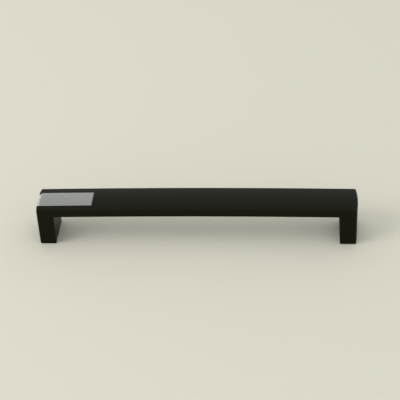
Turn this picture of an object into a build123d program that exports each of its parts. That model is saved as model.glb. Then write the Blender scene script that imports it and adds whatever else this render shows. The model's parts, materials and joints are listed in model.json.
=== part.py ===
"""Bridge handle for a drawer or a cabinet door: an arched bar on two feet, with a metal inlay at one end.

The frame has its origin on the mounting face, midway between the two fixing screws. X runs along the
bar, the front of the bar faces -Y, and +Z points away from the furniture. Units are millimetres.
"""

import os
from math import degrees, radians, tan

from build123d import *

# Overall form of the bar and its feet
hole_spacing = 192.0  # centre to centre of the two fixing screws
foot_length = 10.2  # one foot along the bar, at its front and back corners
depth = 24.1  # bar and feet, front to back
projection = 27.5  # mounting face to the crest of the bar, at mid-length
bar_thickness = 5.6  # crest to underside
arch_rise = 0.8  # how far the bar rises from above the screws to mid-length
crown_rise = 0.5  # crest above the line where the crown meets the front and back faces
end_bow = 1.0  # swell of each end at the middle of the depth
foot_draft = 1.25  # lean of each foot's inner face, in degrees

# Rounded edges
edge_round = 0.9  # top edges and upright outer edges
inner_corner = 1.3  # between a foot and the underside of the bar
grip_edge_round = 0.4  # edges around the finger gap
foot_edge_round = 0.25  # rim of each mounting face

# Screw holes and cores in the mounting faces
screw_hole_diameter = 3.3  # tapping size for an M4 screw
screw_hole_depth = 12.0
drill_point_angle = 118.0  # included angle, in degrees
boss_length = 8.4  # solid metal kept around each screw, front to back
foot_wall = 1.9  # between a core and the outside of the foot
core_depth = 15.0
core_corner = 1.2
core_draft = 1.5  # degrees

# Metal inlay, let into the crown at the left end
inlay_length = 35.8  # from the tip of the bowed end
inlay_width = 13.5
inlay_thickness = 3.1  # at the crest, above the screw
inlay_corner = 0.5  # upright corners of the inner end
inlay_end_round = 2.6  # roll of its top face down the end of the bar
inlay_edge_round = 0.2  # rim of its top face and of the roll
inlay_clearance = 0.1  # seam between the inlay and the walls of its recess

# Values worked out from the sizes above
half_depth = depth / 2
foot_outer = hole_spacing / 2 + foot_length / 2
foot_inner = hole_spacing / 2 - foot_length / 2
end_tip = foot_outer + end_bow
arch_radius = ((hole_spacing / 2) ** 2 + arch_rise**2) / (2 * arch_rise)
arch_centre = projection - arch_radius
arch_angle = degrees(2 * hole_spacing / arch_radius)  # an arc that reaches well past both ends
gap_half_top = foot_inner - projection * tan(radians(foot_draft))
recess_floor = projection - arch_rise - inlay_thickness
inlay_inner_end = inlay_length - end_tip

os.makedirs("parts", exist_ok=True)

# Outer form, still with sharp edges, that the casting and its inlay share, so that the two lie flush
with BuildPart() as outer_form:
    with BuildSketch(Plane.XY):
        with BuildLine():
            front_line = Line((-foot_outer, -half_depth), (foot_outer, -half_depth))
            right_end = ThreePointArc(front_line @ 1, (end_tip, 0), (foot_outer, half_depth))
            back_line = Line(right_end @ 1, (-foot_outer, half_depth))
            ThreePointArc(back_line @ 1, (-end_tip, 0), front_line @ 0)
        make_face()
    extrude(amount=projection + crown_rise)

    # Crowned section, swept along the arch of the crest and deep enough to hold the feet
    with BuildLine(Plane.XZ):
        crest = CenterArc((0, arch_centre), arch_radius, 90 + arch_angle / 2, -arch_angle)
    with BuildSketch(Plane(crest @ 0, x_dir=(0, 1, 0), z_dir=crest % 0)):
        with BuildLine():
            sides = Polyline(
                (half_depth, -crown_rise),
                (half_depth, -2 * projection),
                (-half_depth, -2 * projection),
                (-half_depth, -crown_rise),
            )
            ThreePointArc(sides @ 1, (0, 0), sides @ 0)
        make_face()
    sweep(path=crest, mode=Mode.INTERSECT)

# Casting: the outer form opened by the finger gap, with cored feet and a recess for the inlay
with BuildPart() as handle_body:
    add(outer_form.part)
    mounting_rim = handle_body.faces().sort_by(Axis.Z)[0].edges()
    fillet(handle_body.edges() - mounting_rim, edge_round)
    with BuildSketch(Plane.XZ) as gap_profile:
        Polygon(
            (-foot_inner, 0),
            (foot_inner, 0),
            (gap_half_top, projection),
            (-gap_half_top, projection),
            align=None,
        )
        with Locations((0, arch_centre)):
            Circle(arch_radius - bar_thickness, mode=Mode.INTERSECT)
        fillet(gap_profile.vertices().group_by(Axis.Y)[-1], inner_corner)
    extrude(amount=half_depth, both=True, mode=Mode.SUBTRACT)

    # Edges that the fingers meet, on the front and the back
    side_faces = handle_body.faces().filter_by(Axis.Y)
    gap_edges = side_faces.edges().filter_by(
        lambda edge: 0 < edge.center().Z < projection - bar_thickness / 2
        and abs(edge.center().X) < foot_inner
    )
    fillet(gap_edges, grip_edge_round)
    fillet(handle_body.faces().filter_by(Axis.Z).group_by(Axis.Z)[0].edges(), foot_edge_round)

    # Two cores in each foot, one on each side of the screw boss
    core_width = foot_length - 2 * foot_wall
    core_length = half_depth - boss_length / 2 - foot_wall
    core_taper = 2 * core_depth * tan(radians(core_draft))
    for core_place in GridLocations(hole_spacing, boss_length + core_length, 2, 2):
        core_mouth = Plane(core_place)
        with BuildSketch(core_mouth):
            RectangleRounded(core_width, core_length, core_corner)
        with BuildSketch(core_mouth.offset(core_depth)):
            RectangleRounded(core_width - core_taper, core_length - core_taper, core_corner)
        loft(mode=Mode.SUBTRACT)

    # Blind screw hole up the middle of each foot, with the point that the drill leaves
    hole_radius = screw_hole_diameter / 2
    hole_tip = screw_hole_depth + hole_radius / tan(radians(drill_point_angle / 2))
    for hole_x in (-hole_spacing / 2, hole_spacing / 2):
        with BuildSketch(Plane((hole_x, 0, 0), x_dir=(1, 0, 0), z_dir=(0, -1, 0))):
            Polygon(
                (0, 0), (hole_radius, 0), (hole_radius, screw_hole_depth), (0, hole_tip), align=None
            )
        revolve(axis=Axis((hole_x, 0, 0), (0, 0, 1)), mode=Mode.SUBTRACT)

    # Recess, open at the left end
    with BuildSketch(Plane.XY.offset(recess_floor)) as recess_plan:
        recess_end = inlay_inner_end + inlay_clearance
        with Locations((recess_end, 0)):
            Rectangle(
                recess_end + 2 * end_tip,
                inlay_width + 2 * inlay_clearance,
                align=(Align.MAX, Align.CENTER),
            )
        fillet(recess_plan.vertices().group_by(Axis.X)[-1], inlay_corner + inlay_clearance)
    extrude(amount=inlay_thickness + crown_rise, mode=Mode.SUBTRACT)

handle_body.part.label = "handle_body"
export_step(handle_body.part, "parts/handle_body.step")

# Inlay: the part of the outer form that fills the recess, seated on its floor and rolled over the end
with BuildPart() as inlay_plate:
    with BuildSketch(Plane.XY.offset(recess_floor)) as inlay_plan:
        with Locations((inlay_inner_end, 0)):
            Rectangle(inlay_inner_end + 2 * end_tip, inlay_width, align=(Align.MAX, Align.CENTER))
        fillet(inlay_plan.vertices().group_by(Axis.X)[-1], inlay_corner)
    extrude(amount=inlay_thickness + crown_rise)
    add(outer_form.part, mode=Mode.INTERSECT)
    inlay_top = inlay_plate.faces().sort_by(Axis.Z)[-1]
    fillet(inlay_top.edges().sort_by(Axis.X)[0], inlay_end_round)

    # The two edges across the roll are smooth, so the rim leaves them out
    top_and_roll = inlay_plate.faces().sort_by(Axis.Z)[-2:]
    roll_lines = top_and_roll.edges().filter_by(
        lambda edge: abs(edge.center().Y) < inlay_width / 4
        and edge.center().X < inlay_inner_end - inlay_length / 2
    )
    fillet(top_and_roll.edges() - roll_lines, inlay_edge_round)

inlay_plate.part.label = "inlay_plate"
export_step(inlay_plate.part, "parts/inlay_plate.step")
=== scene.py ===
"""Black furniture handle with a satin-silver inlay, on a pale floor under soft studio light."""

import json
import math

import bpy
from mathutils import Matrix, Vector

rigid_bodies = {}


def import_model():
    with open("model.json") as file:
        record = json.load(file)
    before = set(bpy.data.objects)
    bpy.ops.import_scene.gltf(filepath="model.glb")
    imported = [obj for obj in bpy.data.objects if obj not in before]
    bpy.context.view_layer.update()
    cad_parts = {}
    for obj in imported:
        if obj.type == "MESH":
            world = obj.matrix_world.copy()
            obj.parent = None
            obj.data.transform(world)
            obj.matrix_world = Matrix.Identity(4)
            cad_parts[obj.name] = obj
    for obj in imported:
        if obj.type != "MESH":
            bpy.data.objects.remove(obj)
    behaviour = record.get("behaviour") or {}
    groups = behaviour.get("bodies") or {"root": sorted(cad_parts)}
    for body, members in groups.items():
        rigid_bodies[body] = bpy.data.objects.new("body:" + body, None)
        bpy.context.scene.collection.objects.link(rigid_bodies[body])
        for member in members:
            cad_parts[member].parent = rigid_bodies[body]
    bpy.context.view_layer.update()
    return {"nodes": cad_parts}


for leftover in list(bpy.data.objects):
    bpy.data.objects.remove(leftover)

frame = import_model()


# Shader nodes

class Signal:
    """The output of a shader node. Arithmetic on signals adds Math nodes to the same tree."""

    def __init__(self, tree, socket):
        self.tree = tree
        self.socket = socket

    def math(self, operation, *operands):
        return add_node(
            self.tree, "ShaderNodeMath", {"operation": operation}, dict(enumerate(operands))
        )

    def __add__(self, other):
        return self.math("ADD", self, other)

    def __radd__(self, other):
        return self.math("ADD", other, self)

    def __sub__(self, other):
        return self.math("SUBTRACT", self, other)

    def __rsub__(self, other):
        return self.math("SUBTRACT", other, self)

    def __mul__(self, other):
        return self.math("MULTIPLY", self, other)

    def __rmul__(self, other):
        return self.math("MULTIPLY", other, self)

    def __truediv__(self, other):
        return self.math("DIVIDE", self, other)

    def __rtruediv__(self, other):
        return self.math("DIVIDE", other, self)

    def __lt__(self, other):
        return self.math("LESS_THAN", self, other)

    def __gt__(self, other):
        return self.math("GREATER_THAN", self, other)

    def __abs__(self):
        return self.math("ABSOLUTE", self)

    def root(self):
        return self.math("SQRT", self)

    def fraction(self):
        return self.math("FRACT", self)

    def angle_from(self, run):
        """The angle, in radians, of the direction that rises by this signal along the run."""
        return self.math("ARCTAN2", self, run)

    def along(self, axis):
        """One coordinate of a vector, by the letter of its axis."""
        return add_node(self.tree, "ShaderNodeSeparateXYZ", {}, {"Vector": self}, axis)


def add_node(tree, kind, settings, sockets, output=0):
    """Adds one node: its settings first, then the values or links of its sockets."""
    node = tree.nodes.new(kind)
    for name, value in settings.items():
        if name == "stops":
            set_stops(node.color_ramp, value)
        else:
            setattr(node, name, value)
    for name, value in sockets.items():
        if isinstance(value, Signal):
            tree.links.new(value.socket, node.inputs[name])
        else:
            node.inputs[name].default_value = value
    return Signal(tree, node.outputs[output]) if node.outputs else None


def set_stops(ramp, stops):
    """Gives a ramp its stops, each a place from 0 to 1 with a colour."""
    while len(ramp.elements) < len(stops):
        ramp.elements.new(1.0)
    for element, (place, colour) in zip(ramp.elements, stops):
        element.position = place
        element.color = (*colour, 1.0)


def blend_colours(share, first, second):
    """Mixes two colours by a signal: share 0 gives the first."""
    # A Mix node has its sockets for colours after those for numbers and vectors
    factor, colour_a, colour_b, mixed_colour = 0, 6, 7, 2
    return add_node(
        share.tree,
        "ShaderNodeMix",
        {"data_type": "RGBA"},
        {factor: share, colour_a: first, colour_b: second},
        mixed_colour,
    )


def speckle(place, scale, detail, squeeze=None):
    """Noise from 0 to 1. Its scale is the number of grains in a metre.

    A squeeze below 1 draws the grains out along its axis.
    """
    if squeeze:
        place = add_node(place.tree, "ShaderNodeMapping", {}, {"Vector": place, "Scale": squeeze})
    return add_node(
        place.tree, "ShaderNodeTexNoise", {}, {"Vector": place, "Scale": scale, "Detail": detail}
    )


def relief_normal(height):
    """Surface direction for a relief whose height is in metres."""
    return add_node(
        height.tree, "ShaderNodeBump", {}, {"Height": height, "Strength": 1.0, "Distance": 1.0}
    )


def new_finish(name):
    """A material without any nodes yet."""
    finish = bpy.data.materials.new(name)
    finish.use_nodes = True
    finish.node_tree.nodes.clear()
    return finish


def place_on_part(finish):
    """Position on the part, in metres."""
    return add_node(finish.node_tree, "ShaderNodeTexCoord", {}, {}, "Object")


def close_finish(finish, sockets):
    """Joins a Principled shader with these sockets to the material's output."""
    tree = finish.node_tree
    shader = add_node(tree, "ShaderNodeBsdfPrincipled", {}, sockets)
    add_node(tree, "ShaderNodeOutputMaterial", {}, {"Surface": shader})
    return finish


# Finishes, with lengths in metres

SCREW_SPACING = 0.192
THREAD_RADIUS = 0.00175  # a little more than the hole's, so that its whole wall is threaded
THREAD_START = 0.00001  # just inside the mounting face, which stays plain
THREAD_END = 0.0135
THREAD_PITCH = 0.0007
THREAD_HEIGHT = 0.00025
LACQUER_GRAIN_HEIGHT = 0.000012
SCRATCH_HEIGHT = 0.000004

DEEP_BLACK = (0.0019, 0.0015, 0.0006, 1.0)
SOFT_BLACK = (0.0029, 0.0024, 0.0010, 1.0)
WARM_SHEEN = (1.0, 1.02, 0.68, 1.0)
DARK_SILVER = (0.303, 0.308, 0.308, 1.0)
LIGHT_SILVER = (0.375, 0.382, 0.382, 1.0)
PALE_CREAM = (0.718, 0.690, 0.607, 1.0)


def black_lacquer():
    """Satin black lacquer with a faint grain, and threads in the screw holes."""
    finish = new_finish("satin_black_lacquer")
    place = place_on_part(finish)
    x, y, z = (place.along(axis) for axis in "XYZ")

    # Tapped holes: a mask around the nearer screw's axis, and the thread's turns up the hole
    nearer_side = (x > 0.0) * 2.0 - 1.0
    off_axis = x - nearer_side * (SCREW_SPACING / 2)
    radius = (off_axis * off_axis + y * y).root()
    tapped = (radius < THREAD_RADIUS) * (z > THREAD_START) * (z < THREAD_END)
    turn = y.angle_from(off_axis) / (2 * math.pi)
    thread = abs((z / THREAD_PITCH - turn).fraction() * 2.0 - 1.0)

    cloud = speckle(place, scale=45.0, detail=3.0)
    grain = speckle(place, scale=3200.0, detail=2.0)
    relief = grain * LACQUER_GRAIN_HEIGHT * (1.0 - tapped) + thread * THREAD_HEIGHT * tapped
    return close_finish(
        finish,
        {
            "Base Color": blend_colours(cloud, DEEP_BLACK, SOFT_BLACK),
            "Roughness": 0.40 + (cloud - 0.5) * 0.08 + (grain - 0.5) * 0.06,
            "IOR": 1.21,
            "Specular Tint": WARM_SHEEN,
            "Normal": relief_normal(relief),
        },
    )


def satin_silver():
    """Satin-ground metal under a clear coat, its fine scratches running along the bar."""
    finish = new_finish("satin_silver")
    place = place_on_part(finish)
    scratches = speckle(place, scale=2600.0, detail=3.0, squeeze=(0.02, 1.0, 1.0))
    cloud = speckle(place, scale=90.0, detail=2.0)
    return close_finish(
        finish,
        {
            "Base Color": blend_colours(scratches, DARK_SILVER, LIGHT_SILVER),
            "Metallic": 1.0,
            "Roughness": 0.50 + (scratches - 0.5) * 0.10 + (cloud - 0.5) * 0.05,
            "Coat Weight": 1.0,
            "Coat Roughness": 0.25,
            "Coat IOR": 1.5,
            "Normal": relief_normal(scratches * SCRATCH_HEIGHT),
        },
    )


def pale_floor():
    """Plain matt cream, for the floor that the handle stands on."""
    return close_finish(
        new_finish("pale_floor"),
        {"Base Color": PALE_CREAM, "Roughness": 0.9, "Specular IOR Level": 0.1},
    )


def dress(node_name, finish):
    """Gives one solid of the handle its finish."""
    frame["nodes"][node_name].material_slots[0].material = finish


dress("handle_body", black_lacquer())
dress("inlay_plate", satin_silver())


# Floor, light and camera

def lay_floor():
    """A floor a hair below the feet, wide enough to fill every view."""
    reach, drop = 6.0, 0.0002
    mesh = bpy.data.meshes.new("floor")
    corners = [(-reach, -reach), (reach, -reach), (reach, reach), (-reach, reach)]
    mesh.from_pydata([(x, y, -drop) for x, y in corners], [], [(0, 1, 2, 3)])
    mesh.materials.append(pale_floor())
    floor = bpy.data.objects.new("floor", mesh)
    bpy.context.scene.collection.objects.link(floor)


def light_room():
    """Pale studio walls: brightest near the floor, dimmer higher up, and lighter again overhead."""
    # Each tone's place is the height of its direction: 0 is level and 1 straight up
    wall_tones = [
        (0.00, (2.87, 2.92, 2.80)),
        (0.14, (1.99, 2.02, 1.94)),
        (0.28, (1.33, 1.35, 1.29)),
        (0.42, (0.86, 0.88, 0.84)),
        (0.55, (0.594, 0.604, 0.579)),
        (0.75, (0.569, 0.578, 0.554)),
        (1.00, (0.970, 0.986, 0.945)),
    ]
    world = bpy.data.worlds.new("studio")
    bpy.context.scene.world = world
    world.use_nodes = True
    tree = world.node_tree
    tree.nodes.clear()
    towards = add_node(tree, "ShaderNodeTexCoord", {}, {}, "Generated")
    height = towards.along("Z")
    walls = add_node(tree, "ShaderNodeValToRGB", {"stops": wall_tones}, {"Fac": height})
    room = add_node(tree, "ShaderNodeBackground", {}, {"Color": walls})
    add_node(tree, "ShaderNodeOutputWorld", {}, {"Surface": room})


def hang_softbox(name, place, size, power):
    """A rectangular lamp that faces the handle: place and size in metres, power in watts."""
    lamp = bpy.data.lights.new(name, "AREA")
    lamp.shape = "RECTANGLE"
    lamp.size, lamp.size_y = size
    lamp.energy = power
    box = bpy.data.objects.new(name, lamp)
    box.location = place
    box.rotation_euler = (-Vector(place)).to_track_quat("-Z", "Y").to_euler()
    bpy.context.scene.collection.objects.link(box)


def set_camera():
    """The photograph's viewpoint: place in metres, angles in degrees, focal length in pixels."""
    place = Vector((0.06595, -0.66825, 0.53643))
    yaw, pitch, roll = (math.radians(angle) for angle in (-5.4323, 37.2492, 3.2929))
    focal_length, frame_width = 1328.25, 400
    ahead = Vector(
        (math.sin(yaw) * math.cos(pitch), math.cos(yaw) * math.cos(pitch), -math.sin(pitch))
    )
    level = Vector((math.cos(yaw), -math.sin(yaw), 0.0))
    down = ahead.cross(level)
    right = math.cos(roll) * level + math.sin(roll) * down
    up = math.sin(roll) * level - math.cos(roll) * down
    turn = Matrix((right, up, -ahead)).transposed()
    data = bpy.data.cameras.new("camera")
    data.lens = data.sensor_width * focal_length / frame_width
    data.clip_end = 50.0
    camera = bpy.data.objects.new("camera", data)
    camera.matrix_world = Matrix.Translation(place) @ turn.to_4x4()
    bpy.context.scene.collection.objects.link(camera)
    bpy.context.scene.camera = camera


lay_floor()
light_room()
hang_softbox("left_softbox", place=(-1.50, -0.60, 1.15), size=(1.0, 0.9), power=12.2)
set_camera()
bpy.context.scene.view_settings.view_transform = "Standard"
